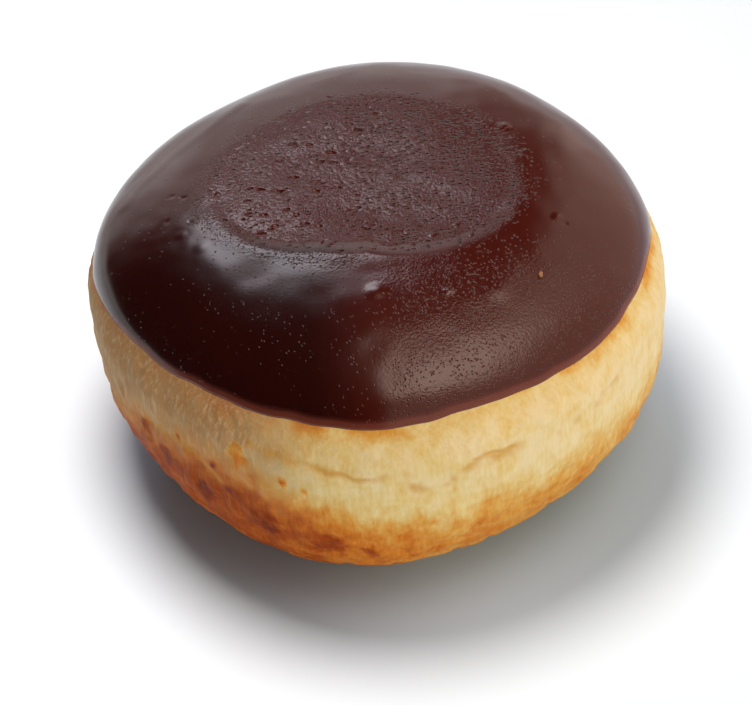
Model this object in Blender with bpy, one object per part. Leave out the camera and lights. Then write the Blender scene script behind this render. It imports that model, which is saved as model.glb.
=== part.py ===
"""Cream-filled doughnut: a round yeast-raised body under a cap of chocolate icing.

Metres, +Z up. The origin is the middle of the flat spot that the doughnut rests on, and the side
with the folds faces -Y. Both solids are turned from one outline and then made uneven together,
so the icing follows the dough with an even gap.
"""

import math

import bmesh
import bpy
from mathutils import Vector

# Driving dimensions, in metres.
OUTER_RADIUS = 0.045
WIDEST_HEIGHT = 0.0351
CROWN_RISE = 0.0177
SETTLE = 0.0014
CROWN_POWER = 2.4
BELLY_POWER = 2.95

# Icing: its thickness in the middle and at its lip, and the clearance to the dough.
ICING_THICKNESS = 0.0017
LIP_THICKNESS = 0.0012
GAP = 0.0003

# Height of the icing's lip, and how much higher it lies at the front than halfway round.
LIP_HEIGHT = 0.0404
LIP_RISE_TO_FRONT = 0.0031
LIP_WAVES = ((2, 0.00065, 2.6), (3, 0.00012, -0.1), (5, 0.00017, -1.1), (9, 0.00012, 0.7))

# Sunk plateau on the top: its centre, half widths and height, and how far its middle dips.
PLATEAU_CENTRE = (-0.0010, 0.0032)
PLATEAU_HALF_WIDTHS = (0.0226, 0.0206)
PLATEAU_HEIGHT = 0.0515
PLATEAU_DIP = 0.0007
PLATEAU_WALL = 0.0060
PLATEAU_SOFTNESS = 0.0006

# Unevenness: lobes round the plan, and lobes that grow towards the foot of the belly. Each entry
# holds the number of lobes, then the cosine and the sine share of the radius.
PLAN_LOBES = ((2, 0.004, -0.005), (3, -0.005, 0.005), (4, 0.011, -0.010))
BELLY_LOBES = ((0, 0.009, 0.0), (1, 0.011, 0.012), (2, 0.038, 0.009), (3, 0.020, 0.016))
BELLY_LOBE_POWER = 1.5

# Folds in the side: azimuths in degrees and heights in metres of the points they run through.
FOLDS = (
    ((-119, 0.0388), (-108, 0.0390), (-97, 0.0377), (-89, 0.0372)),
    ((-89.5, 0.0357), (-86, 0.0326), (-80, 0.0330), (-76, 0.0334), (-71, 0.0316)),
    ((-73, 0.0365), (-64, 0.0355), (-49, 0.0342)),
    ((-150, 0.0300), (-137, 0.0317), (-127, 0.0280)),
)
FOLD_DEPTH = 0.0006
FOLD_HALF_WIDTH = 0.0026

# Mesh fineness.
SEGMENTS = 84
DOUGH_ROWS = {"covered": 8, "shoulder": 5, "belly": 20, "foot": 3}
ICING_ROWS = {"outside": 15, "nose": 4, "inside": 8}
NOSE_LENGTH = 0.0013
MERGE_DISTANCE = 0.00001

# The stretches of the outline, as values of the parameter "along": 0 is the middle of the top,
# 1 the widest ring, 2 the foot's edge and 3 the middle of the foot.
TOP, WIDEST, FOOT_EDGE, FOOT_MIDDLE = 0.0, 1.0, 2.0, 3.0

COLLECTION_NAME = "cream_filled_doughnut"


def outline(along):
    """Radius and height of the turned outline at a place along it."""
    belly_depth = WIDEST_HEIGHT + SETTLE
    foot_angle = math.acos((WIDEST_HEIGHT / belly_depth) ** (BELLY_POWER / 2))
    if along <= WIDEST:
        angle = along * math.pi / 2
        radius = OUTER_RADIUS * math.sin(angle) ** (2 / CROWN_POWER)
        return radius, WIDEST_HEIGHT + CROWN_RISE * max(math.cos(angle), 0.0) ** (2 / CROWN_POWER)
    angle = math.pi / 2 + (min(along, FOOT_EDGE) - WIDEST) * (foot_angle - math.pi / 2)
    radius = OUTER_RADIUS * math.sin(angle) ** (2 / BELLY_POWER)
    if along <= FOOT_EDGE:
        height = WIDEST_HEIGHT - belly_depth * max(math.cos(angle), 0.0) ** (2 / BELLY_POWER)
        return radius, max(height, 0.0)
    return radius * (FOOT_MIDDLE - along), 0.0


def outline_normal(along, step=0.001):
    """Radial and vertical share of the outward normal of the outline."""
    r_before, z_before = outline(max(along - step, TOP))
    r_after, z_after = outline(min(along + step, FOOT_EDGE))
    length = math.hypot(r_after - r_before, z_after - z_before)
    return (z_before - z_after) / length, (r_after - r_before) / length


def along_at_height(height):
    """Place on the crown's outline at a height, the inverse of outline() above the widest ring."""
    share = (height - WIDEST_HEIGHT) / CROWN_RISE
    return math.acos(share ** (CROWN_POWER / 2)) / (math.pi / 2)


def lip_height(azimuth):
    """Height of the icing's lip, a little wavy and higher at the front."""
    waves = sum(size * math.cos(count * azimuth + phase) for count, size, phase in LIP_WAVES)
    return LIP_HEIGHT - LIP_RISE_TO_FRONT * math.sin(azimuth) + waves


def slide(along, azimuth):
    """Moves a place on the crown so that the row at the mean lip follows the real lip."""
    mean = along_at_height(LIP_HEIGHT)
    real = along_at_height(lip_height(azimuth))
    if along <= mean:
        return along * real / mean
    if along < WIDEST:
        return real + (along - mean) * (WIDEST - real) / (WIDEST - mean)
    return along


def smooth_step(value):
    """Eases from 0 to 1 as the value goes from 0 to 1."""
    value = min(max(value, 0.0), 1.0)
    return value * value * (3 - 2 * value)


def smooth_min(first, second, softness):
    """The lower of two heights, rounded where they meet."""
    blend = max(softness - abs(first - second), 0.0) / softness
    return min(first, second) - blend * blend * softness / 4


def lobes(entries, azimuth):
    """Sum of the lobes at an azimuth, as a share of the radius."""
    return sum(c * math.cos(n * azimuth) + s * math.sin(n * azimuth) for n, c, s in entries)


def plateau_drop(x, y, height):
    """How far the top sinks at a place, which makes the plateau and its dip."""
    centre_x, centre_y = PLATEAU_CENTRE
    half_x, half_y = PLATEAU_HALF_WIDTHS
    reach = math.hypot((x - centre_x) / half_x, (y - centre_y) / half_y)
    inside = min(reach, 1.0) ** 2
    outside = max(reach - 1.0, 0.0)
    surface = PLATEAU_HEIGHT - PLATEAU_DIP * (1 - inside) + PLATEAU_WALL * outside
    return smooth_min(height, surface, PLATEAU_SOFTNESS) - height


def fold_drop(azimuth, height):
    """How far the side is pressed in by the folds at a place."""
    nearest = FOLD_HALF_WIDTH
    for points in FOLDS:
        for (start_deg, start_height), (end_deg, end_height) in zip(points, points[1:]):
            start = Vector((math.radians(start_deg) * OUTER_RADIUS, start_height))
            end = Vector((math.radians(end_deg) * OUTER_RADIUS, end_height))
            place = Vector((azimuth * OUTER_RADIUS, height))
            share = (place - start).dot(end - start) / (end - start).length_squared
            closest = start.lerp(end, min(max(share, 0.0), 1.0))
            nearest = min(nearest, (place - closest).length)
    return FOLD_DEPTH * smooth_step(1 - nearest / FOLD_HALF_WIDTH)


def icing_thickness(along, azimuth):
    """Thickness of the icing, which thins towards its lip."""
    edge = along_at_height(lip_height(azimuth))
    return ICING_THICKNESS + (LIP_THICKNESS - ICING_THICKNESS) * smooth_step(along / edge)


def dough_inset(along, azimuth):
    """How far the dough lies inside the doughnut's outer skin, to make room for the icing."""
    edge = along_at_height(lip_height(azimuth))
    below_lip = smooth_step((along - edge) / (WIDEST - edge))
    return (icing_thickness(along, azimuth) + GAP) * (1 - below_lip)


def skin_point(along, azimuth, inset):
    """A point at a depth under the doughnut's uneven outer skin."""
    radius, height = outline(along)
    normal_out, normal_up = outline_normal(min(along, FOOT_EDGE))
    if along > FOOT_EDGE:
        normal_out, normal_up = 0.0, -1.0
    belly = max(1 - height / WIDEST_HEIGHT, 0.0) ** BELLY_LOBE_POWER
    scale = 1 + lobes(PLAN_LOBES, azimuth) + belly * lobes(BELLY_LOBES, azimuth)
    outer_x = radius * scale * math.cos(azimuth)
    outer_y = radius * scale * math.sin(azimuth)
    drop = plateau_drop(outer_x, outer_y, height) if along < WIDEST else 0.0
    x = outer_x - inset * normal_out * math.cos(azimuth)
    y = outer_y - inset * normal_out * math.sin(azimuth)
    return Vector((x, y, height + drop - inset * normal_up))


def dough_point(along, share, azimuth):
    """A point of the dough's surface, with the folds pressed into its side."""
    place = slide(along, azimuth)
    height = outline(place)[1]
    on_side = place > along_at_height(lip_height(azimuth)) and place < FOOT_EDGE
    fold = fold_drop(azimuth, height) if on_side else 0.0
    return skin_point(place, azimuth, dough_inset(place, azimuth) * share + fold)


def icing_point(along, share, azimuth):
    """A point of the icing's surface, from its outside at share 0 to its inside at share 1."""
    place = slide(along, azimuth)
    return skin_point(place, azimuth, icing_thickness(place, azimuth) * share)


def evenly(start, end, rows):
    """Places from start up to, but not including, end."""
    return [start + (end - start) * row / rows for row in range(rows)]


def dough_profile():
    """Rows of the dough, from the middle of its top to the middle of its foot."""
    lip = along_at_height(LIP_HEIGHT)
    places = evenly(TOP, lip, DOUGH_ROWS["covered"])
    places += evenly(lip, WIDEST, DOUGH_ROWS["shoulder"])
    places += evenly(WIDEST, FOOT_EDGE, DOUGH_ROWS["belly"])
    places += evenly(FOOT_EDGE, FOOT_MIDDLE, DOUGH_ROWS["foot"])
    return [(place, 1.0) for place in places + [FOOT_MIDDLE]]


def icing_profile():
    """Rows of the icing, over its outside, round the nose of its lip and back inside."""
    lip = along_at_height(LIP_HEIGHT)
    nose = along_at_height(LIP_HEIGHT) - along_at_height(LIP_HEIGHT + NOSE_LENGTH)
    rows = [(place, 0.0) for place in evenly(TOP, lip - nose, ICING_ROWS["outside"])]
    for step in range(ICING_ROWS["nose"] + 1):
        angle = math.pi / 2 * step / ICING_ROWS["nose"]
        rows.append((lip - nose + nose * math.sin(angle), 1 - math.cos(angle)))
    inside = evenly(lip, TOP, ICING_ROWS["inside"])[1:] + [TOP]
    return rows + [(place, 1.0) for place in inside]


def turned_mesh(name, profile, point):
    """Turns a profile about Z, then puts each vertex on the uneven surface given by point()."""
    bm = bmesh.new()
    along_layer = bm.verts.layers.float.new("along")
    share_layer = bm.verts.layers.float.new("share")
    previous = None
    for along, share in profile:
        radius, height = outline(along)
        vertex = bm.verts.new((radius, 0.0, height - share * ICING_THICKNESS))
        vertex[along_layer] = along
        vertex[share_layer] = share
        if previous:
            bm.edges.new((previous, vertex))
        previous = vertex
    bmesh.ops.spin(
        bm, geom=bm.verts[:] + bm.edges[:], cent=(0, 0, 0), axis=(0, 0, 1),
        angle=math.tau, steps=SEGMENTS, use_duplicate=False,
    )
    bmesh.ops.remove_doubles(bm, verts=bm.verts, dist=MERGE_DISTANCE)
    for vertex in bm.verts:
        azimuth = math.atan2(vertex.co.y, vertex.co.x)
        vertex.co = point(vertex[along_layer], vertex[share_layer], azimuth)
    bmesh.ops.recalc_face_normals(bm, faces=bm.faces)
    mesh = bpy.data.meshes.new(name)
    bm.to_mesh(mesh)
    bm.free()
    return mesh


def food_material(name, colour, roughness):
    """A plain Principled material in linear colour."""
    material = bpy.data.materials.new(name)
    material.use_nodes = True
    shader = material.node_tree.nodes["Principled BSDF"]
    shader.inputs["Base Color"].default_value = (*colour, 1.0)
    shader.inputs["Roughness"].default_value = roughness
    shader.inputs["Metallic"].default_value = 0.0
    material.diffuse_color = (*colour, 1.0)
    return material


def add_piece(collection, name, mesh, material):
    """Adds a smooth-shaded object with its material to the collection."""
    mesh.materials.append(material)
    mesh.shade_smooth()
    piece = bpy.data.objects.new(name, mesh)
    collection.objects.link(piece)
    return piece


def build():
    """Builds the dough and the icing."""
    for old in list(bpy.data.objects):
        bpy.data.objects.remove(old, do_unlink=True)
    collection = bpy.data.collections.new(COLLECTION_NAME)
    bpy.context.scene.collection.children.link(collection)
    dough = turned_mesh("dough", dough_profile(), dough_point)
    icing = turned_mesh("icing", icing_profile(), icing_point)
    add_piece(collection, "dough", dough, food_material("fried_dough", (0.62, 0.38, 0.15), 0.7))
    add_piece(collection, "icing", icing, food_material("chocolate_icing", (0.05, 0.012, 0.006), 0.3))


build()
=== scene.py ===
"""Looks of a cream-filled doughnut: fried yeast dough under a cap of chocolate icing.

Both pieces are turned from the outline that the solids have, made uneven in the same way, and
then given the relief and the colours of the real thing. Metres, +Z up, camera on the -Y side.
"""
import itertools
import logging
import math
from dataclasses import dataclass, field

import bmesh
import bpy
import numpy as np
from mathutils import Matrix, Vector


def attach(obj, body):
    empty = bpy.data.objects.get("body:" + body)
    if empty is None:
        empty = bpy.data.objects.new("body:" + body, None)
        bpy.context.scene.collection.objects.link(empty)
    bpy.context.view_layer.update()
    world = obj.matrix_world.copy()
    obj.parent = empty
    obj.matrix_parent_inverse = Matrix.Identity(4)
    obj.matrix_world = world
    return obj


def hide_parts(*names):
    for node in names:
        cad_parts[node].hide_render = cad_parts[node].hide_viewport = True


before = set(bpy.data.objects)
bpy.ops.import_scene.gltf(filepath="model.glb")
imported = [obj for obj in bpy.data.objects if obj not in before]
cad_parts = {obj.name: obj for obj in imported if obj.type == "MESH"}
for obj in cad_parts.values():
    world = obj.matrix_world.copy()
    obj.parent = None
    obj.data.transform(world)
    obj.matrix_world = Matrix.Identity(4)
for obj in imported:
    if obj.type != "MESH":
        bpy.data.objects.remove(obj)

LOG = logging.getLogger("doughnut")
MM = 0.001
TOP, WIDEST, FOOT_EDGE, FOOT_MIDDLE = 0.0, 1.0, 2.0, 3.0
SPIN_STEPS = 36
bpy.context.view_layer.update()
PHOTO_WIDTH = 752
SENSOR_WIDTH_MM = 36.0
Array = np.ndarray
Tree = bpy.types.NodeTree
Socket = bpy.types.NodeSocket


def linear(hex_colour: str) -> tuple[float, float, float, float]:
    """Turns an sRGB hex colour to linear.

    Args:
        hex_colour: a colour such as "#c0a070".

    Returns:
        Red, green, blue and an alpha of 1.
    """
    channels = [int(hex_colour[i:i + 2], 16) / 255 for i in (1, 3, 5)]
    red, green, blue = (c / 12.92 if c <= 0.04045 else ((c + 0.055) / 1.055) ** 2.4 for c in channels)
    return red, green, blue, 1.0


def ease(value: Array) -> Array:
    """Eases from 0 to 1 as the value goes from 0 to 1."""
    held = np.clip(value, 0.0, 1.0)
    return held * held * (3 - 2 * held)


def hump(distance: Array, half_width: float) -> Array:
    """A round hump: 1 at distance 0, easing to 0 at the half width."""
    return ease(1 - distance / half_width)


class SmoothNoise:
    """Gradient noise that is the same on every run."""

    def __init__(self, seed: int) -> None:
        """Draws the table of gradients from the seed."""
        draw = np.random.default_rng(seed)
        self.order = draw.permutation(256)
        gradients = draw.normal(size=(256, 3))
        self.gradients = gradients / np.linalg.norm(gradients, axis=1)[:, None]

    def at(self, points: Array, size: float, stretch: tuple = (1.0, 1.0, 1.0)) -> Array:
        """Noise over points.

        Args:
            points: places in metres, one row each.
            size: the grain in metres.
            stretch: how much longer the grain is along X, Y and Z.

        Returns:
            One value for each point, from about -1 to 1.
        """
        scaled = points / (size * np.array(stretch))
        cell = np.floor(scaled).astype(int)
        local = scaled - cell
        eased = local ** 3 * (local * (local * 6 - 15) + 10)
        total = np.zeros(len(points))
        for corner in itertools.product((0, 1), repeat=3):
            place = (cell + corner) & 255
            key = self.order[(self.order[(self.order[place[:, 0]] + place[:, 1]) & 255] + place[:, 2]) & 255]
            value = (self.gradients[key] * (local - corner)).sum(axis=1)
            total += value * np.prod(np.where(corner, eased, 1 - eased), axis=1)
        return total * 1.7


@dataclass(frozen=True)
class DoughnutForm:
    """The doughnut's turned outline and its unevenness, in metres, as the solids have them."""

    outer_radius: float = 45.0 * MM
    widest_height: float = 35.1 * MM
    crown_rise: float = 17.7 * MM
    settle: float = 1.4 * MM
    crown_power: float = 2.4
    belly_power: float = 2.95
    lip_height_mean: float = 40.4 * MM
    lip_rise_to_front: float = 3.1 * MM
    lip_waves: tuple = ((2, 0.65 * MM, 2.6), (3, 0.12 * MM, -0.1), (5, 0.17 * MM, -1.1), (9, 0.12 * MM, 0.7))
    fine_lip_waves: tuple = ((17, 0.07 * MM, 2.1), (29, 0.05 * MM, 0.3), (43, 0.03 * MM, 1.2))
    plateau_centre: tuple = (-1.0 * MM, 3.2 * MM)
    plateau_half_widths: tuple = (22.6 * MM, 20.6 * MM)
    plateau_height: float = 51.5 * MM
    plateau_dip: float = 0.4 * MM
    plateau_wall: float = 10.5 * MM
    plateau_softness: float = 1.8 * MM
    rim_degrees: tuple = (-180, -150, -115, -90, -60, -35, -10, 20, 60, 120, 180)
    rim_sizes: tuple = (0.98, 0.86, 0.635, 0.615, 0.78, 0.94, 1.00, 1.00, 0.96, 0.96, 0.97)
    lip_degrees: tuple = (
        -180, -175, -171, -163, -155, -149, -139, -131, -120, -114, -108, -101,
        -95, -90, -81, -73, -66, -59, -50, -41, -35, -29, -23, -17, -12, -4, 4, 14, 30, 70, 180,
    )
    lip_changes: tuple = (
        -0.2, 0.25, 1.02, 1.0, 1.39, 1.12, 0.96, 0.77, 0.41, 0.39, 0.67, 0.43, -0.04, -0.35, 0.02, 0.05,
        0.01, -0.08, -0.51, -0.25, 0.14, 0.75, 1.18, 1.47, 1.42, 0.77, -0.4, -1.1, -0.9, -0.4, -0.2,
    )
    plan_lobes: tuple = ((2, 0.004, -0.005), (3, -0.005, 0.005), (4, 0.011, -0.010))
    belly_lobes: tuple = ((0, 0.009, 0.0), (1, 0.011, 0.012), (2, 0.038, 0.009), (3, 0.020, 0.016))
    belly_lobe_power: float = 1.5

    def outline(self, along: Array) -> tuple[Array, Array]:
        """Radius and height of the turned outline.

        Args:
            along: places along it: 0 is the middle of the top, 1 the widest ring, 2 the foot's
                edge and 3 the middle of the foot.

        Returns:
            The radii and the heights.
        """
        along = np.asarray(along, float)
        belly_depth = self.widest_height + self.settle
        foot_angle = math.acos((self.widest_height / belly_depth) ** (self.belly_power / 2))
        crown_angle = np.clip(along, TOP, WIDEST) * math.pi / 2
        crown_radius = self.outer_radius * np.sin(crown_angle) ** (2 / self.crown_power)
        crown_cos = np.maximum(np.cos(crown_angle), 0.0)
        crown_height = self.widest_height + self.crown_rise * crown_cos ** (2 / self.crown_power)
        belly_share = np.clip(along, WIDEST, FOOT_EDGE) - WIDEST
        belly_angle = math.pi / 2 + belly_share * (foot_angle - math.pi / 2)
        belly_radius = self.outer_radius * np.sin(belly_angle) ** (2 / self.belly_power)
        belly_cos = np.maximum(np.cos(belly_angle), 0.0)
        belly_height = self.widest_height - belly_depth * belly_cos ** (2 / self.belly_power)
        foot_share = np.clip(FOOT_MIDDLE - along, 0.0, 1.0)
        on_crown = along <= WIDEST
        radius = np.where(on_crown, crown_radius, belly_radius * foot_share)
        height = np.where(on_crown, crown_height, np.maximum(belly_height, 0.0))
        return radius, height

    def normal(self, along: Array, step: float = 0.001) -> tuple[Array, Array]:
        """Radial and vertical share of the outline's outward normal at places along it."""
        on_side = np.minimum(along, FOOT_EDGE)
        r_before, z_before = self.outline(np.maximum(on_side - step, TOP))
        r_after, z_after = self.outline(np.minimum(on_side + step, FOOT_EDGE))
        length = np.hypot(r_after - r_before, z_after - z_before)
        on_foot = along > FOOT_EDGE
        normal_out = np.where(on_foot, 0.0, (z_before - z_after) / length)
        return normal_out, np.where(on_foot, -1.0, (r_after - r_before) / length)

    def along_at_height(self, height: Array) -> Array:
        """Places on the crown's outline at heights."""
        share = (np.asarray(height) - self.widest_height) / self.crown_rise
        return np.arccos(share ** (self.crown_power / 2)) / (math.pi / 2)

    def lip_height(self, azimuth: Array) -> Array:
        """Heights of the icing's lip: wavy, and higher at the front."""
        waves = self.lip_waves + self.fine_lip_waves
        height = self.lip_height_mean - self.lip_rise_to_front * np.sin(azimuth)
        height = height + sum(size * np.cos(count * azimuth + phase) for count, size, phase in waves)
        degrees = np.degrees(azimuth)
        shifts = (-4, -2, 0, 2, 4)
        changes = [np.interp(degrees + shift, self.lip_degrees, self.lip_changes) for shift in shifts]
        return height + np.mean(changes, axis=0) * MM

    def slide(self, along: Array, azimuth: Array) -> Array:
        """Moves places on the crown so that the row at the mean lip follows the real lip."""
        mean = self.along_at_height(self.lip_height_mean)
        real = self.along_at_height(self.lip_height(azimuth))
        above = along * real / mean
        below = real + (along - mean) * (WIDEST - real) / (WIDEST - mean)
        return np.where(along <= mean, above, np.where(along < WIDEST, below, along))

    def plateau_reach(self, x: Array, y: Array) -> Array:
        """How far out places lie over the plateau: 0 in its middle and 1 at its uneven rim."""
        centre_x, centre_y = self.plateau_centre
        half_x, half_y = self.plateau_half_widths
        across, deep = (x - centre_x) / half_x, (y - centre_y) / half_y
        size = np.interp(np.degrees(np.arctan2(deep, across)), self.rim_degrees, self.rim_sizes)
        return np.hypot(across, deep) / size

    def plateau_drop(self, x: Array, y: Array, height: Array) -> Array:
        """How far the top sinks at a place, which makes the plateau and its dip."""
        reach = self.plateau_reach(x, y)
        inside = np.minimum(reach, 1.0) ** 2
        outside = np.maximum(reach - 1.0, 0.0)
        wall = self.plateau_wall * outside ** 2 / (outside + 0.10)
        surface = self.plateau_height - self.plateau_dip * (1 - inside) + wall
        blend = np.maximum(self.plateau_softness - np.abs(height - surface), 0.0) / self.plateau_softness
        return np.minimum(height, surface) - blend * blend * self.plateau_softness / 4 - height

    @staticmethod
    def lobes(entries: tuple, azimuth: Array) -> Array:
        """Sum of the lobes at azimuths, as a share of the radius."""
        return sum(c * np.cos(n * azimuth) + s * np.sin(n * azimuth) for n, c, s in entries)

    def skin(self, along: Array, azimuth: Array, inset: Array) -> Array:
        """Points at a depth under the doughnut's uneven outer skin.

        Args:
            along: places along the outline.
            azimuth: angles about Z, in radians.
            inset: depths under the skin, in metres.

        Returns:
            One row of X, Y and Z for each place.
        """
        radius, height = self.outline(along)
        normal_out, normal_up = self.normal(along)
        belly = np.maximum(1 - height / self.widest_height, 0.0) ** self.belly_lobe_power
        scale = 1 + self.lobes(self.plan_lobes, azimuth) + belly * self.lobes(self.belly_lobes, azimuth)
        outer_x = radius * scale * np.cos(azimuth)
        outer_y = radius * scale * np.sin(azimuth)
        drop = np.where(along < WIDEST, self.plateau_drop(outer_x, outer_y, height), 0.0)
        x = outer_x - inset * normal_out * np.cos(azimuth)
        y = outer_y - inset * normal_out * np.sin(azimuth)
        return np.stack([x, y, height + drop - inset * normal_up], axis=1)


@dataclass(frozen=True)
class Turning:
    """A profile turned about Z: the mesh, and where each of its vertices lies on the form."""

    mesh: bpy.types.Mesh
    along: Array
    share: Array
    azimuth: Array

    @classmethod
    def of_profile(cls, name: str, form: DoughnutForm, profile: list, cuts: int) -> "Turning":
        """Turns a profile with bmesh's spin, then cuts its rings finer.

        Args:
            name: the mesh's name.
            form: gives the outline's radius and height.
            profile: rows of (place along the outline, share of the way through the layer).
            cuts: cuts in each of the spin's steps.

        Returns:
            The turned mesh with the place, share and azimuth of each vertex.
        """
        rows = np.array(profile)
        radii, heights = form.outline(rows[:, 0])
        bm = bmesh.new()
        along_layer = bm.verts.layers.float.new("along")
        share_layer = bm.verts.layers.float.new("share")
        previous = None
        for (along, share), radius, height in zip(profile, radii, heights):
            vertex = bm.verts.new((radius, 0.0, height - share * MM))
            vertex[along_layer] = along
            vertex[share_layer] = share
            if previous:
                bm.edges.new((previous, vertex))
            previous = vertex
        bmesh.ops.spin(
            bm, geom=bm.verts[:] + bm.edges[:], cent=(0, 0, 0), axis=(0, 0, 1),
            angle=math.tau, steps=SPIN_STEPS, use_merge=True, use_duplicate=False,
        )
        poles = [vertex for vertex in bm.verts if math.hypot(vertex.co.x, vertex.co.y) < 1e-7]
        bmesh.ops.remove_doubles(bm, verts=poles, dist=1e-6)
        rings = [edge for edge in bm.edges if cls.on_ring(edge)]
        bmesh.ops.subdivide_edges(bm, edges=rings, cuts=cuts, use_grid_fill=True)
        mesh = bpy.data.meshes.new(name)
        bm.to_mesh(mesh)
        bm.free()
        count = len(mesh.vertices)
        along, share, places = np.empty(count), np.empty(count), np.empty(count * 3)
        mesh.attributes["along"].data.foreach_get("value", along)
        mesh.attributes["share"].data.foreach_get("value", share)
        mesh.vertices.foreach_get("co", places)
        for layer in ("along", "share"):
            mesh.attributes.remove(mesh.attributes[layer])
        return cls(mesh, along, share, np.arctan2(places[1::3], places[0::3]))

    @staticmethod
    def on_ring(edge: bmesh.types.BMEdge) -> bool:
        """Whether an edge runs round the axis, and not along the profile."""
        (x0, y0, _), (x1, y1, _) = (vertex.co for vertex in edge.verts)
        radius = math.hypot(x0, y0)
        return radius > 1e-7 and abs(radius - math.hypot(x1, y1)) < 1e-7 and abs(x0 * y1 - x1 * y0) > 1e-12

    def place(self, points: Array) -> None:
        """Moves the vertices to their places on the form, with the faces pointing out."""
        self.mesh.vertices.foreach_set("co", points.astype(np.float32).ravel())
        bm = bmesh.new()
        bm.from_mesh(self.mesh)
        bmesh.ops.recalc_face_normals(bm, faces=bm.faces)
        bm.to_mesh(self.mesh)
        bm.free()
        self.mesh.shade_smooth()

    def mark(self, name: str, values: Array) -> None:
        """Stores one value for each vertex as an attribute that a material reads."""
        attribute = self.mesh.attributes.new(name, "FLOAT", "POINT")
        attribute.data.foreach_set("value", values.astype(np.float32))


def line_distance(places: Array, line: Array) -> Array:
    """Distance from places to a bent line; both are rows of two lengths in metres."""
    nearest = np.full(len(places), np.inf)
    for start, end in zip(line, line[1:]):
        run = end - start
        share = np.clip((places - start) @ run / (run @ run), 0.0, 1.0)
        nearest = np.minimum(nearest, np.linalg.norm(places - start - share[:, None] * run, axis=1))
    return nearest


def add_node(tree: Tree, kind: str, settings: dict | None = None, **links) -> bpy.types.Node:
    """Adds a node with its settings and its links.

    Args:
        tree: the node tree.
        kind: the node's type, such as "ShaderNodeMix".
        settings: attributes of the node, such as {"data_type": "RGBA"}.
        links: input values by socket name, with _ for a space; a socket is linked, any other
            value is set. A name such as in_6 picks an input by its number.

    Returns:
        The new node.
    """
    node = tree.nodes.new(kind)
    for key, value in (settings or {}).items():
        setattr(node, key, value)
    for key, value in links.items():
        socket = node.inputs[int(key[3:])] if key.startswith("in_") else node.inputs[key.replace("_", " ")]
        if isinstance(value, Socket):
            tree.links.new(value, socket)
        else:
            socket.default_value = value
    return node


def new_material(name: str, **constants) -> tuple[bpy.types.Material, Tree, bpy.types.Node]:
    """Makes a material.

    Args:
        name: its name.
        constants: values of its shader's sockets by name, with _ for a space.

    Returns:
        The material, its node tree and its Principled shader.
    """
    material = bpy.data.materials.new(name)
    material.use_nodes = True
    shader = material.node_tree.nodes["Principled BSDF"]
    for key, value in constants.items():
        shader.inputs[key.replace("_", " ")].default_value = value
    return material, material.node_tree, shader


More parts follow.
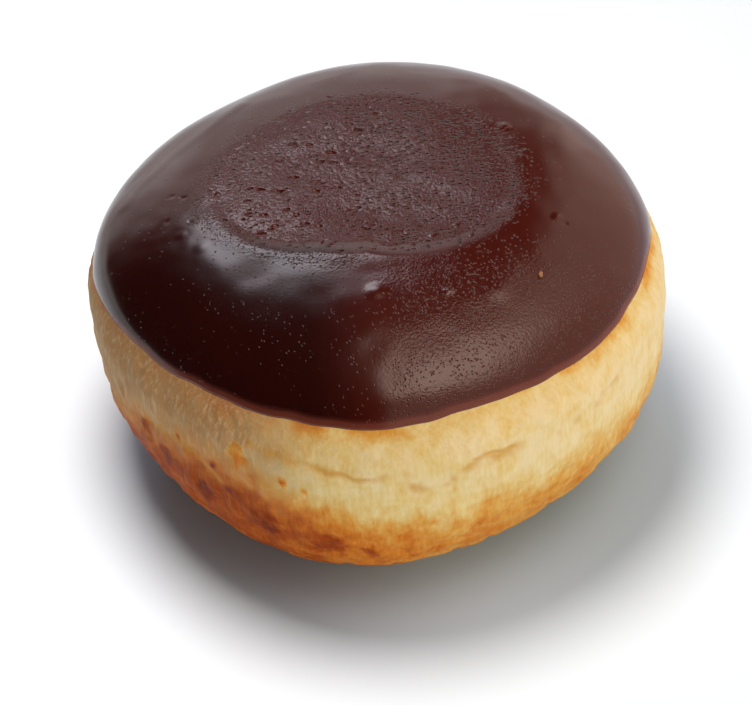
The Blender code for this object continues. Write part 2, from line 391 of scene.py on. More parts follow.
@dataclass(frozen=True)
class SetChocolateIcing:
    """Cocoa sugar icing that was poured warm and has set in air."""

    # Painted shade: the near black laid over the icing's front left, which lies in shade.
    painted_shade: str = "#2b0804"
    usual: str = "#4a1207"
    thin: str = "#844538"
    roughness: float = 0.185
    ior: float = 1.5
    # Burst bubbles are 0.3 to 0.8 mm wide. Pinholes and sugar grain are 0.05 to 0.2 mm, too fine
    # for a picture with 6 pixels to the millimetre, so they are drawn 2 to 4 times as coarse.
    bubble_size: float = 0.66 * MM
    bubble_squeeze: tuple = (0.66, 1.0, 1.0)
    pinhole_size: float = 0.40 * MM
    sugar_size: float = 0.46 * MM
    bubble_depth: float = 0.40 * MM
    pinhole_depth: float = 0.05 * MM
    sugar_depth: float = 0.09 * MM

    def build(self) -> bpy.types.Material:
        """Makes the material."""
        # Painted shade makes the icing almost black down its front left, which lies in shade; it looks redder
        # where it thins at the lip.
        # Its skin is smooth but not polished, so lights are soft, and burst bubbles break them.
        material, tree, shader = new_material("set_chocolate_icing", Roughness=self.roughness, IOR=self.ior)
        place = add_node(tree, "ShaderNodeTexCoord").outputs["Object"]
        marks = {
            name: add_node(tree, "ShaderNodeAttribute", {"attribute_name": name}).outputs["Fac"]
            for name in ("bubbles", "grain", "thinness", "thickness")
        }
        colour = linear(self.usual)
        # The thickness mark is painted shade: it darkens the front left, which lies in shade.
        for share, over in ((marks["thickness"], self.painted_shade), (marks["thinness"], self.thin)):
            mix = add_node(
                tree, "ShaderNodeMix", {"data_type": "RGBA"}, in_0=share, in_6=colour, in_7=linear(over),
            )
            colour = mix.outputs[2]
        tree.links.new(colour, shader.inputs["Base Color"])
        longer = add_node(tree, "ShaderNodeMapping", Vector=place, Scale=self.bubble_squeeze).outputs["Vector"]
        noise = add_node(tree, "ShaderNodeTexNoise", Vector=place, Scale=1 / self.sugar_size, Detail=2.0)
        sugar = add_node(
            tree, "ShaderNodeMath", {"operation": "MULTIPLY"}, in_0=noise.outputs["Fac"], in_1=marks["grain"],
        )
        normal = None
        for height, depth, sunk in (
            (self.dents(tree, longer, self.bubble_size, marks["bubbles"]), self.bubble_depth, True),
            (self.dents(tree, place, self.pinhole_size, marks["grain"]), self.pinhole_depth, True),
            (sugar.outputs[0], self.sugar_depth, False),
        ):
            bump = add_node(
                tree, "ShaderNodeBump", {"invert": sunk}, Strength=1.0, Distance=depth, Height=height,
            )
            if normal:
                tree.links.new(normal, bump.inputs["Normal"])
            normal = bump.outputs["Normal"]
        tree.links.new(normal, shader.inputs["Normal"])
        return material

    @staticmethod
    def dents(
        tree: Tree, place: Socket, size: float, chance: Socket,
    ) -> Socket:
        """Adds round dents, one to a cell.

        Args:
            tree: the material's node tree.
            place: the place on the surface.
            size: a cell's width.
            chance: the share of the cells that have a dent.

        Returns:
            The depth, from 0 to 1.
        """
        cells = add_node(tree, "ShaderNodeTexVoronoi", Vector=place, Scale=1 / size)
        deep = add_node(
            tree, "ShaderNodeMapRange", {"interpolation_type": "SMOOTHSTEP"},
            Value=cells.outputs["Distance"], From_Min=0.02, From_Max=0.50, To_Min=1.0, To_Max=0.0,
        )
        draw = add_node(tree, "ShaderNodeSeparateColor", Color=cells.outputs["Color"])
        kept = add_node(tree, "ShaderNodeMath", {"operation": "LESS_THAN"}, in_0=draw.outputs[0], in_1=chance)
        dent = add_node(
            tree, "ShaderNodeMath", {"operation": "MULTIPLY"}, in_0=deep.outputs[0], in_1=kept.outputs[0],
        )
        return dent.outputs[0]


@dataclass(frozen=True)
class FriedYeastDough:
    """The skin of yeast dough fried in oil: cream where it floated clear, russet below."""

    stops: tuple = (
        (0.00, "#ebdbab"), (0.16, "#e5cd88"), (0.36, "#dda850"), (0.56, "#cf7c26"), (0.78, "#a64c10"),
        (1.00, "#782d06"),
    )
    ashen: str = "#ab7c56"
    # Golden brown along the creases: partly the skin's colour and partly painted shade in the folds.
    crease_tint_and_shade: str = "#cf9532"
    fleck: str = "#ecdcb8"
    roughness: float = 0.52
    ior: float = 1.45
    specular_level: float = 0.06
    glow: float = 0.10
    glow_radius: tuple = (1.0, 0.55, 0.25)
    glow_depth: float = 1.6 * MM
    # Browning mottles the skin over 2 to 3 mm, and it wrinkles upright every half millimetre.
    # Its pores are 0.1 to 0.2 mm wide and drawn twice as coarse, so that they show.
    mottle_size: float = 2.4 * MM
    mottle_spread: float = 0.42
    streak_size: float = 0.6 * MM
    streak_squeeze: tuple = (1.0, 1.0, 0.2)
    streak_spread: float = 0.30
    skin_size: float = 1.1 * MM
    pore_size: float = 0.40 * MM
    skin_depth: float = 0.16 * MM
    streak_depth: float = 0.16 * MM
    pore_depth: float = 0.05 * MM

    def build(self) -> bpy.types.Material:
        """Makes the material."""
        # Fried dough looks dry and soft: it has hardly any gloss, light sinks a little way in, and
        # the colour runs from cream to russet in mottles and upright streaks.
        material, tree, shader = new_material(
            "fried_yeast_dough", Roughness=self.roughness, IOR=self.ior,
            Specular_IOR_Level=self.specular_level, Subsurface_Weight=self.glow,
            Subsurface_Radius=self.glow_radius, Subsurface_Scale=self.glow_depth,
        )
        place = add_node(tree, "ShaderNodeTexCoord").outputs["Object"]
        upright = add_node(tree, "ShaderNodeMapping", Vector=place, Scale=self.streak_squeeze).outputs["Vector"]
        marks = {
            name: add_node(tree, "ShaderNodeAttribute", {"attribute_name": name}).outputs["Fac"]
            for name in ("browning", "ashen", "crease_tint_and_shade", "crinkle")
        }
        mottle = add_node(tree, "ShaderNodeTexNoise", Vector=place, Scale=1 / self.mottle_size, Detail=6.0)
        streaks = add_node(tree, "ShaderNodeTexNoise", Vector=upright, Scale=1 / self.streak_size, Detail=3.0)
        tone = self.spread(tree, marks["browning"], mottle.outputs["Fac"], self.mottle_spread)
        tone = self.spread(tree, tone, streaks.outputs["Fac"], self.streak_spread)
        ramp = add_node(tree, "ShaderNodeValToRGB", Fac=tone)
        elements = ramp.color_ramp.elements
        elements.remove(elements[-1])
        (elements[0].position, first), *later = self.stops
        elements[0].color = linear(first)
        for position, tint in later:
            elements.new(position).color = linear(tint)
        colour = ramp.outputs["Color"]
        flecks = add_node(
            tree, "ShaderNodeMapRange", Value=streaks.outputs["Fac"],
            From_Min=0.48, From_Max=0.70, To_Min=0.0, To_Max=0.45,
        )
        fleck_share = add_node(
            tree, "ShaderNodeMath", {"operation": "MULTIPLY"}, in_0=flecks.outputs[0], in_1=marks["ashen"],
        )
        layers = (
            (marks["ashen"], self.ashen), (marks["crease_tint_and_shade"], self.crease_tint_and_shade),
            (fleck_share.outputs[0], self.fleck),
        )
        for share, over in layers:
            mix = add_node(
                tree, "ShaderNodeMix", {"data_type": "RGBA"}, in_0=share, in_6=colour, in_7=linear(over),
            )
            colour = mix.outputs[2]
        tree.links.new(colour, shader.inputs["Base Color"])
        tree.links.new(self.relief(tree, place, streaks, marks["crinkle"]), shader.inputs["Normal"])
        return material

    @staticmethod
    def spread(
        tree: Tree, tone: Socket, pattern: Socket, width: float,
    ) -> Socket:
        """Spreads a tone to both sides.

        Args:
            tree: the material's node tree.
            tone: the tone, from 0 to 1.
            pattern: what spreads it, from 0 to 1.
            width: how far it is spread in all.

        Returns:
            The new tone.
        """
        centred = add_node(
            tree, "ShaderNodeMath", {"operation": "MULTIPLY_ADD"}, in_0=pattern, in_1=width, in_2=-width / 2,
        )
        both = add_node(
            tree, "ShaderNodeMath", {"operation": "ADD", "use_clamp": True}, in_0=tone, in_1=centred.outputs[0],
        )
        return both.outputs[0]

    def relief(
        self, tree: Tree, place: Socket, streaks: bpy.types.Node,
        crinkle: Socket,
    ) -> Socket:
        """Adds the skin's bumps: soft lumps, upright wrinkles and pores.

        Args:
            tree: the material's node tree.
            place: the place on the surface.
            streaks: the upright pattern.
            crinkle: how crinkled the skin is, from 0 to 1.

        Returns:
            The surface's normal.
        """
        skin = add_node(tree, "ShaderNodeTexNoise", Vector=place, Scale=1 / self.skin_size, Detail=4.0)
        pores = add_node(
            tree, "ShaderNodeTexVoronoi", {"feature": "SMOOTH_F1"},
            Vector=place, Scale=1 / self.pore_size, Smoothness=0.5,
        )
        wrinkles = add_node(
            tree, "ShaderNodeMath", {"operation": "MULTIPLY"}, in_0=streaks.outputs["Fac"], in_1=crinkle,
        )
        normal = None
        for height, depth in (
            (skin.outputs["Fac"], self.skin_depth), (wrinkles.outputs[0], self.streak_depth),
            (pores.outputs["Distance"], self.pore_depth),
        ):
            bump = add_node(tree, "ShaderNodeBump", Strength=1.0, Distance=depth, Height=height)
            if normal:
                tree.links.new(normal, bump.inputs["Normal"])
            normal = bump.outputs["Normal"]
        return normal


def evenly(start: float, end: float, rows: int) -> list[float]:
    """Places from start up to, but not including, end."""
    return [start + (end - start) * row / rows for row in range(rows)]


def add_piece(
    mesh: bpy.types.Mesh, name: str, material: bpy.types.Material, slot: str, replaces: bool = True,
) -> bpy.types.Object:
    """Adds a finished piece.

    Args:
        mesh: the piece's mesh, in place.
        name: the piece's name.
        material: its material.
        slot: the name of the CAD node that it stands for.
        replaces: whether it stands for that node.

    Returns:
        The new object.
    """
    mesh.materials.append(material)
    piece = bpy.data.objects.new(name, mesh)
    bpy.context.scene.collection.objects.link(piece)
    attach(piece, "root")
    if replaces:
        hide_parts(slot)
    LOG.info("%s: %d faces", name, len(mesh.polygons))
    return piece


@dataclass(frozen=True)
class IcingLayer:
    """Thickness of the icing, and how it meets the dough."""

    form: DoughnutForm
    thickness: float = 1.7 * MM
    lip_thickness: float = 0.6 * MM
    gap: float = 0.15 * MM

    def thickness_at(self, along: Array, azimuth: Array) -> Array:
        """Thickness at places, which thins towards the lip."""
        edge = self.form.along_at_height(self.form.lip_height(azimuth))
        return self.thickness + (self.lip_thickness - self.thickness) * ease(along / edge)

    def dough_inset(self, along: Array, azimuth: Array) -> Array:
        """How far the dough lies inside the outer skin, to make room for the icing."""
        edge = self.form.along_at_height(self.form.lip_height(azimuth))
        below_lip = ease((along - edge) / (WIDEST - edge))
        return (self.thickness_at(along, azimuth) + self.gap) * (1 - below_lip)


@dataclass
class DoughBody:
    """The fried body of the doughnut, with its folds, wrinkles, flakes and browning.

    Folds are lines of (degrees about Z, height in mm). Swells and wrinkles are rows of (seed,
    height, size in mm), and how much taller than wide. The browning's rows go with its azimuths:
    the height in mm where it starts, its strength above that, and its strength below. Amber spots
    are rows of (degrees about Z, height and half width in mm, strength).
    """

    form: DoughnutForm
    layer: IcingLayer
    finish: FriedYeastDough = field(default_factory=FriedYeastDough)
    cuts: int = 14
    covered_rows: int = 8
    shoulder_rows: int = 34
    belly_rows: int = 124
    foot_rows: int = 6
    crowding: float = 0.35
    folds: tuple = (
        ((-119, 38.8), (-113, 38.5), (-107, 38.1), (-101, 36.9), (-96, 36.0), (-91, 36.2), (-88, 36.9)),
        ((-89.5, 35.7), (-86, 32.6), (-83, 32.4), (-80, 33.0), (-76, 34.9), (-71, 35.3), (-66, 34.2)),
        ((-74, 36.2), (-70, 36.0), (-64, 35.2)),
        ((-55, 34.3), (-45, 33.8), (-38, 35.5)),
        ((-150, 30.0), (-137, 31.7), (-127, 28.0)),
    )
    fold_depth: float = 0.13 * MM
    fold_half_width: float = 2.4 * MM
    crease_depth: float = 0.09 * MM
    crease_half_width: float = 0.9 * MM
    swells: tuple = ((31, 0.28, 12.0), (77, 0.14, 4.0), (13, 0.06, 1.4))
    wrinkles: tuple = ((52, 0.30, 2.2, 2.0), (53, 0.16, 1.1, 2.5))
    flake_height: float = 0.15 * MM
    browning_azimuths: tuple = (-180, -166, -153, -132, -122, -111, -102, -94, -84, -60, -32, 0, 60, 120, 180)
    browning_rows: tuple = (
        (27.0, 26.5, 31.0, 35.0, 34.5, 32.0, 30.8, 28.4, 28.0, 27.4, 27.0, 26.5, 28.0, 28.0, 27.0),
        (0.22, 0.22, 0.22, 0.22, 0.20, 0.15, 0.13, 0.11, 0.08, 0.06, 0.06, 0.07, 0.10, 0.18, 0.22),
        (0.80, 0.80, 0.80, 0.80, 0.79, 0.73, 0.64, 0.57, 0.51, 0.44, 0.40, 0.43, 0.56, 0.72, 0.80),
    )
    amber_spots: tuple = (
        (-132.0, 22.9, 2.6, 0.20), (-117.5, 21.9, 3.0, 0.20), (-104.5, 19.3, 3.2, 0.15), (-143.0, 25.5, 2.2, 0.20),
        (-121.8, 36.2, 2.1, 0.26), (-112.0, 33.4, 0.8, 0.50), (-107.5, 32.6, 0.7, 0.30), (-150.0, 28.0, 1.6, 0.20),
        (-125.0, 26.5, 1.2, 0.24), (-96.0, 17.5, 1.8, 0.16), (-138.0, 32.5, 0.8, 0.40), (-128.5, 31.0, 0.9, 0.30),
    )

    def build(self) -> bpy.types.Object:
        """Builds the body."""
        turned = Turning.of_profile("dough_body", self.form, self.profile(), self.cuts)
        # The columns are crowded towards the front, where the finest relief is.
        azimuth = turned.azimuth - self.crowding * np.cos(turned.azimuth)
        azimuth = np.arctan2(np.sin(azimuth), np.cos(azimuth))
        turning = Turning(turned.mesh, turned.along, turned.share, azimuth)
        place = self.form.slide(turning.along, turning.azimuth)
        height = self.form.outline(place)[1]
        covered = self.layer.dough_inset(place, turning.azimuth)
        smooth = self.form.skin(place, turning.azimuth, covered)
        edge = self.form.along_at_height(self.form.lip_height(turning.azimuth))
        shows = ease((place - edge - 0.015) / 0.06) * ease((height - 0.3 * MM) / (2.5 * MM))
        shows = np.where(place < FOOT_EDGE, shows, 0.0)
        relief = self.relief(smooth, turning.azimuth, height) * shows
        points = self.form.skin(place, turning.azimuth, covered - relief)
        turning.place(points)
        near_lip = hump((place - edge) * self.form.outer_radius, 5.0 * MM) * ease((place - edge + 0.01) / 0.01)
        self.mark_skin(turning, points, height, near_lip)
        return add_piece(turning.mesh, "dough_body", self.finish.build(), "dough")

    def profile(self) -> list[tuple[float, float]]:
        """Rows from the middle of the top to the middle of the foot."""
        lip = float(self.form.along_at_height(self.form.lip_height_mean))
        places = evenly(TOP, lip - 0.03, self.covered_rows)
        places += evenly(lip - 0.03, WIDEST, self.shoulder_rows)
        places += evenly(WIDEST, FOOT_EDGE, self.belly_rows)
        places += evenly(FOOT_EDGE, FOOT_MIDDLE, self.foot_rows)
        return [(place, 1.0) for place in places + [FOOT_MIDDLE]]

    def left_side(self, azimuth: Array) -> Array:
        """1 on the left side, which is crinkled, easing to 0 at the front and the back."""
        degrees = np.degrees(azimuth)
        shares = (0.8, 1.0, 1.0, 0.15, 0.15, 0.5, 0.8)
        return np.interp(degrees, (-180, -165, -125, -98, 100, 140, 180), shares)

    def creases(self, points: Array, azimuth: Array, height: Array) -> tuple[Array, Array]:
        """Distance in metres to the nearest crease, which wanders, and how deep it is there."""
        radius = self.form.outer_radius
        wander = 0.7 * MM * SmoothNoise(5).at(points, 2.5 * MM)
        places = np.stack([azimuth * radius, height + wander], axis=1)
        lines = [np.array([(math.radians(a) * radius, h * MM) for a, h in fold]) for fold in self.folds]
        nearest = np.min([line_distance(places, line) for line in lines], axis=0)
        return nearest, ease(0.75 + 1.2 * SmoothNoise(6).at(points, 4.0 * MM))

    def relief(self, points: Array, azimuth: Array, height: Array) -> Array:
        """How far the surface stands out from the plain form, in metres."""
        distance, deep = self.creases(points, azimuth, height)
        relief = -self.fold_depth * hump(distance, self.fold_half_width)
        relief -= self.crease_depth * deep * hump(distance, self.crease_half_width)
        for seed, rise, size in self.swells:
            relief += rise * MM * SmoothNoise(seed).at(points, size * MM)
        crinkled = self.left_side(azimuth) * ease((height - 12 * MM) / (12 * MM))
        for seed, rise, size, tall in self.wrinkles:
            relief += rise * MM * crinkled * SmoothNoise(seed).at(points, size * MM, (1.0, 1.0, tall))
        flakes = np.tanh(9 * SmoothNoise(29).at(points, 3.2 * MM))
        return relief + self.flake_height * ease((28 * MM - height) / (10 * MM)) * flakes

    def mark_skin(self, turning: Turning, points: Array, height: Array, near_lip: Array) -> None:
        """Marks the browning, the ashen upper left, the creases and the crinkled skin; the creases' golden brown
        is partly the skin's own colour and partly painted shade.

        Args:
            turning: the body's turned mesh.
            points: where its vertices lie.
            height: their heights on the plain outline.
            near_lip: 1 right under the icing's lip, where the skin has taken its colour.
        """
        degrees = np.degrees(turning.azimuth)
        line, above, low = (np.interp(degrees, self.browning_azimuths, row) for row in self.browning_rows)
        wander = 1.5 * SmoothNoise(11).at(points, 9 * MM) + 1.3 * SmoothNoise(12).at(points, 2.4 * MM)
        below = ease(((line + 3.5 + wander) * MM - height) / (13 * MM))
        golden = 0.10 + 0.24 * ease(0.5 + 1.6 * SmoothNoise(8).at(points, 5 * MM))
        browned = above + (low - above) * below + golden * near_lip
        browned += 0.08 * SmoothNoise(2).at(points, 5 * MM)
        spots = np.zeros(len(points))
        for spot_azimuth, spot_height, half, strength in self.amber_spots:
            sideways = np.radians(degrees - spot_azimuth) * self.form.outer_radius
            reach = np.hypot(sideways, (height - spot_height * MM) / 1.3) / (half * MM)
            ragged = reach + 0.5 * SmoothNoise(19).at(points, 1.2 * MM)
            spots += strength * ease((1.0 - ragged) / 0.55)
        browned += spots
        browned -= 0.20 * ease((9 * MM - height) / (6 * MM))
        distance, deep = self.creases(points, turning.azimuth, height)
        # Partly painted shade: the crease colour darkens the folds where shade falls.
        crease_tint_and_shade = hump(distance, 1.0 * MM) * (1 - 0.5 * below) * deep
        left = self.left_side(turning.azimuth)
        turning.mark("browning", np.clip(browned, 0.0, 1.0))
        ashen = 0.75 * left * (1 - below) * ease((left - 0.15) / 0.6) * (1 - 0.9 * ease(spots / 0.15))
        turning.mark("ashen", ashen)
        turning.mark("crease_tint_and_shade", 0.75 * crease_tint_and_shade)
        turning.mark("crinkle", left)


@dataclass
class IcingCap:
    """The chocolate icing: a cap with a sunk pitted plateau and a rounded lip.

    Crests and the ripple are lines in plan, in mm. Long pits are rows of (X, Y, half length in
    mm), lumps of (X, Y, half width, height in mm), and swells of (seed, height, size in mm).
    """

    form: DoughnutForm
    layer: IcingLayer
    finish: SetChocolateIcing = field(default_factory=SetChocolateIcing)
    cuts: int = 13
    plateau_rows: int = 116
    ring_rows: int = 48
    nose_rows: int = 16
    inside_rows: int = 6
    nose_length: float = 5.2 * MM
    nose_overlap: float = 0.7 * MM
    sunk_into_dough: float = 0.3 * MM
    crest: tuple = (
        (-25.8, 6.0), (-25.4, 0.8), (-21.6, -4.6), (-17.0, -8.6), (-12.0, -11.4), (-7.2, -13.2), (-3.4, -13.4),
    )
    crest_height: float = 0.03 * MM
    crest_half_width: float = 2.4 * MM
    swells: tuple = ((44, 0.16, 14.0), (91, 0.05, 4.5))
    front_crest: tuple = ((-2.0, -15.4), (2.5, -15.0), (7.0, -15.4), (12.5, -13.4), (16.5, -10.4))
    front_crest_height: float = 0.02 * MM
    ripple: tuple = ((-39.0, 9.5), (-38.0, 11.8), (-33.0, 16.9), (-26.3, 22.3), (-19.7, 29.8))
    ripple_height: float = 0.10 * MM
    ripple_half_width: float = 2.2 * MM
    long_pits: tuple = (
        (-4.8, 25.8, 0.7), (-11.2, 23.2, 0.6), (2.5, 20.1, 0.8), (-0.7, 16.5, 1.2), (-11.3, 14.6, 0.9),
        (-8.6, 14.0, 0.6), (-5.3, 11.8, 1.1), (-3.2, 13.5, 0.5), (-7.2, 9.8, 0.6), (-5.0, 9.3, 0.9),
        (-13.5, 10.8, 0.7), (-11.4, 6.6, 1.0), (-14.0, 3.7, 1.5), (-16.9, 4.4, 1.1), (-18.4, 4.9, 0.7),
        (-8.2, 3.0, 0.8), (-7.3, 4.7, 0.5), (-4.6, 3.4, 0.6), (-23.7, 4.7, 0.5), (-19.0, 2.1, 0.8),
        (-18.9, -1.0, 0.6), (-16.5, -1.6, 0.8), (-10.1, -4.5, 0.9), (-8.1, -5.3, 0.7), (-12.9, -0.9, 0.5),
        (-11.4, -2.2, 0.5), (-2.4, -1.7, 0.9), (-14.8, -4.3, 0.7), (-15.5, -4.9, 0.6), (-17.0, -5.8, 0.9),
        (-7.7, -9.4, 0.5), (-1.1, -6.8, 1.0), (0.2, -6.0, 0.6), (-31.9, 1.0, 0.8), (-31.1, 6.8, 0.9),
        (-29.4, 5.6, 1.1), (-28.2, -0.6, 0.6), (-22.5, -1.8, 0.4), (29.7, -7.5, 0.7), (-5.2, -12.4, 0.8),
    )
    long_pit_depth: float = 0.32 * MM
    small_pits: int = 170
    lumps: tuple = (
        (22.4, 15.5, 1.3, 0.20), (-0.2, -21.0, 2.1, 0.17), (10.7, -21.7, 1.0, 0.22), (2.4, -8.0, 2.4, 0.10),
        (-6.7, -9.7, 0.9, 0.20), (-29.8, -2.8, 1.2, 0.06), (-26.5, -6.6, 1.6, 0.05), (18.4, -21.5, 2.4, 0.16),
        (13.1, -7.3, 0.8, 0.16), (14.9, -10.3, 0.7, 0.16), (9.2, -9.3, 0.8, 0.16), (28.6, -6.4, 1.0, 0.14),
    )

    def build(self) -> bpy.types.Object:
        """Builds the cap."""
        turning = Turning.of_profile("icing_cap", self.form, self.profile(), self.cuts)
        place = self.form.slide(turning.along, turning.azimuth)
        thickness = self.layer.thickness_at(place, turning.azimuth) + self.sunk_into_dough
        inset = thickness * turning.share
        smooth = self.form.skin(place, turning.azimuth, inset)
        outside = np.clip(1 - turning.share * 2, 0.0, 1.0)
        points = self.form.skin(place, turning.azimuth, inset - self.relief(smooth) * outside)
        turning.place(points)
        edge = self.form.along_at_height(self.form.lip_height(turning.azimuth))
        near_lip = 0.65 * ease((place - edge + 0.030) / 0.026)
        turning.mark("bubbles", self.bubbles(points))
        turning.mark("grain", self.grain(points))
        turning.mark("thinness", np.maximum(near_lip, ease((turning.share - 0.75) / 0.25)))
        # The thickness mark is painted shade down the front left, which lies in shade.
        turning.mark("thickness", self.painted_front_left_shade(points))
        return add_piece(turning.mesh, "icing_cap", self.finish.build(), "icing")

    def profile(self) -> list[tuple[float, float]]:
        """Rows over the outside, round the nose of the lip and back inside."""
        lip = float(self.form.along_at_height(self.form.lip_height_mean))
        nose = lip - float(self.form.along_at_height(self.form.lip_height_mean + self.nose_length))
        overlap = self.nose_overlap / self.form.outer_radius
        rim = 0.42
        rows = [(place, 0.0) for place in evenly(TOP, rim, self.plateau_rows)]
        rows += [(place, 0.0) for place in evenly(rim, lip - nose, self.ring_rows)]
        for step in range(self.nose_rows + 1):
            share = step / self.nose_rows
            rows.append((lip - nose + (nose + overlap) * share, 0.88 * share ** 2.3))
        inside = evenly(lip + overlap, TOP, self.inside_rows)[1:] + [TOP]
        return rows + [(place, 1.0) for place in inside]

    @staticmethod
    def pit(points: Array, x: float, y: float, long_half: float, short_half: float, angle: float) -> Array:
        """Shape of a pit that is longer than wide, 1 in its middle; x, y and halves in metres."""
        across_x, across_y = points[:, 0] - x, points[:, 1] - y
        lengthwise = across_x * math.cos(angle) + across_y * math.sin(angle)
        across = -across_x * math.sin(angle) + across_y * math.cos(angle)
        return hump(np.hypot(lengthwise / long_half, across / short_half), 1.0)

    @staticmethod
    def on_line(points: Array, line: tuple, half_width: float) -> Array:
        """1 on a line in plan whose corners are in millimetres, easing to 0 beside it."""
        return hump(line_distance(points[:, :2], np.array(line) * MM), half_width)

    def relief(self, points: Array) -> Array:
        """How far the icing stands out from the plain form, in metres."""
        relief = np.zeros(len(points))
        for seed, rise, size in self.swells:
            relief += rise * MM * SmoothNoise(seed).at(points, size * MM)
        for line, rise, half_width in (
            (self.crest, self.crest_height, self.crest_half_width),
            (self.front_crest, self.front_crest_height, self.crest_half_width),
            (self.ripple, self.ripple_height, self.ripple_half_width),
        ):
            relief += rise * self.on_line(points, line, half_width)
        patchy = hump(np.hypot(points[:, 0] + 30 * MM, points[:, 1] + 1 * MM), 11 * MM)
        relief += 0.05 * MM * patchy * SmoothNoise(37).at(points, 2.6 * MM)
        draw = np.random.default_rng(7)
        for x, y, long_half in self.long_pits:
            short_half = draw.uniform(0.34, 0.46) * MM
            angle = draw.normal(-0.16, 0.12)
            shape = self.pit(points, x * MM, y * MM, 1.15 * long_half * MM, short_half, angle)
            on_plateau = -26 <= x <= 20
            relief -= self.long_pit_depth * shape * (1.0 if on_plateau else 0.4)
        for _ in range(self.small_pits):
            x, y = draw.uniform(-21, 6) * MM, draw.uniform(-9, 24) * MM
            long_half = draw.uniform(0.25, 0.6) * MM
            shape = self.pit(points, x, y, long_half, draw.uniform(0.2, 0.3) * MM, draw.normal(-0.1, 0.3))
            relief -= draw.uniform(0.08, 0.16) * MM * shape
        for x, y, half, height in self.lumps:
            relief += height * MM * self.pit(points, x * MM, y * MM, 1.15 * half * MM, half * MM, 0.2)
        return relief

    def reach(self, points: Array) -> Array:
        """How far out points lie over the plateau: 0 in its middle and 1 at its rim."""
        return self.form.plateau_reach(points[:, 0], points[:, 1])

    def bubbles(self, points: Array) -> Array:
        """Strength of the burst bubbles: strongest on the plateau's right half."""
        x, y = points[:, 0], points[:, 1]
        patches = 0.75 + 0.35 * SmoothNoise(61).at(points, 5 * MM)
        right = ease((x + 6 * MM) / (10 * MM))
        back = ease((y + 2 * MM) / (12 * MM))
        on_plateau = ease((1.26 - self.reach(points)) / 0.25)
        smooth_spot = hump(np.hypot(x - 12.9 * MM, y - 0.6 * MM), 6 * MM)
        strength = 0.30 + right * (0.62 + 0.30 * back)
        return on_plateau * strength * patches * (1 - 0.6 * smooth_spot)

    def grain(self, points: Array) -> Array:
        """Strength of the fine grain: on the plateau, its crest and the front's sheen."""
        x, y = points[:, 0], points[:, 1]
        front = ease((-y - 8 * MM) / (12 * MM)) * (0.10 + 0.90 * ease((x + 2 * MM) / (8 * MM)))
        near_plateau = ease((1.30 - self.reach(points)) / 0.2)
        crest = self.on_line(points, self.crest, 4.5 * MM)
        return 0.03 + 0.57 * np.maximum(np.maximum(near_plateau, crest), front)

    def painted_front_left_shade(self, points: Array) -> Array:
        """Painted shade down the icing's front left, which lies in shade: 1 there, easing to 0 elsewhere."""
        x, y = points[:, 0], points[:, 1]
        outward = ease((self.reach(points) - 0.95) / 0.35)
        left = ease((-x + 2 * MM) / (14 * MM))
        front = ease((12 * MM - y) / (22 * MM))
        return outward * left * front


@dataclass
class LooseCrumbs:
    """Crumbs of fried dough that stuck to the icing: rows of (X, Y, radius in mm, length share)."""

    finish: FriedYeastDough
    icing: bpy.types.Object
    crumbs: tuple = ((24.9, -18.2, 0.34, 1.6),)

    def build(self) -> bpy.types.Object:
        """Builds the crumbs, each half sunk in the icing."""
        bm = bmesh.new()
        for x, y, radius, length in self.crumbs:
            made = bmesh.ops.create_icosphere(bm, subdivisions=3, radius=radius * MM)["verts"]
            bmesh.ops.scale(bm, vec=(1.0, length, 0.6), verts=made)
            bmesh.ops.translate(bm, vec=(x * MM, y * MM, self.height_at(x * MM, y * MM)), verts=made)
        places = np.array([vertex.co for vertex in bm.verts])
        rough = 0.22 * MM * SmoothNoise(83).at(places, 0.6 * MM)
        for vertex, push in zip(bm.verts, rough):
            vertex.co += vertex.normal * push
        bmesh.ops.recalc_face_normals(bm, faces=bm.faces)
        mesh = bpy.data.meshes.new("loose_crumbs")
        bm.to_mesh(mesh)
        bm.free()
        mesh.shade_smooth()
        for name, value in (("browning", 0.4), ("ashen", 1.0)):
            attribute = mesh.attributes.new(name, "FLOAT", "POINT")
            attribute.data.foreach_set("value", np.full(len(mesh.vertices), value, np.float32))
        return add_piece(mesh, "loose_crumbs", self.finish.build(), "dough", replaces=False)

    def height_at(self, x: float, y: float) -> float:
        """Height of the icing's outside over a place in plan."""
        places = np.empty(len(self.icing.data.vertices) * 3)
        self.icing.data.vertices.foreach_get("co", places)
        places = places.reshape(-1, 3)
        near = np.argsort(np.hypot(places[:, 0] - x, places[:, 1] - y))[:4]
        return float(places[near, 2].max())


@dataclass(frozen=True)
class Softbox:
    """A far softbox, as the part of the sky that it fills: X to the right, Y to the back.

    Each side is the range over which the light comes in, from none to full.
    """

    left: tuple[float, float]
    right: tuple[float, float]
    front: tuple[float, float]
    back: tuple[float, float]
    radiance: float
    colour: tuple[float, float, float] = (1.0, 1.0, 1.0)

    def build(
        self, tree: Tree, x: Socket, y: Socket,
    ) -> Socket:
        """Adds the softbox's nodes.

        Args:
            tree: the world's node tree.
            x: how far to the right the direction points.
            y: how far to the back it points.

        Returns:
            The softbox's light.
        """
        light = tuple(self.radiance * channel for channel in self.colour)
        for value, (start, end) in ((x, self.left), (x, self.right), (y, self.front), (y, self.back)):
            side = add_node(
                tree, "ShaderNodeMapRange", {"interpolation_type": "SMOOTHSTEP"},
                Value=value, From_Min=min(start, end), From_Max=max(start, end),
                To_Min=0.0 if start < end else 1.0, To_Max=1.0 if start < end else 0.0,
            )
            scaled = add_node(
                tree, "ShaderNodeVectorMath", {"operation": "SCALE"}, Vector=light, Scale=side.outputs[0],
            )
            light = scaled.outputs["Vector"]
        return light


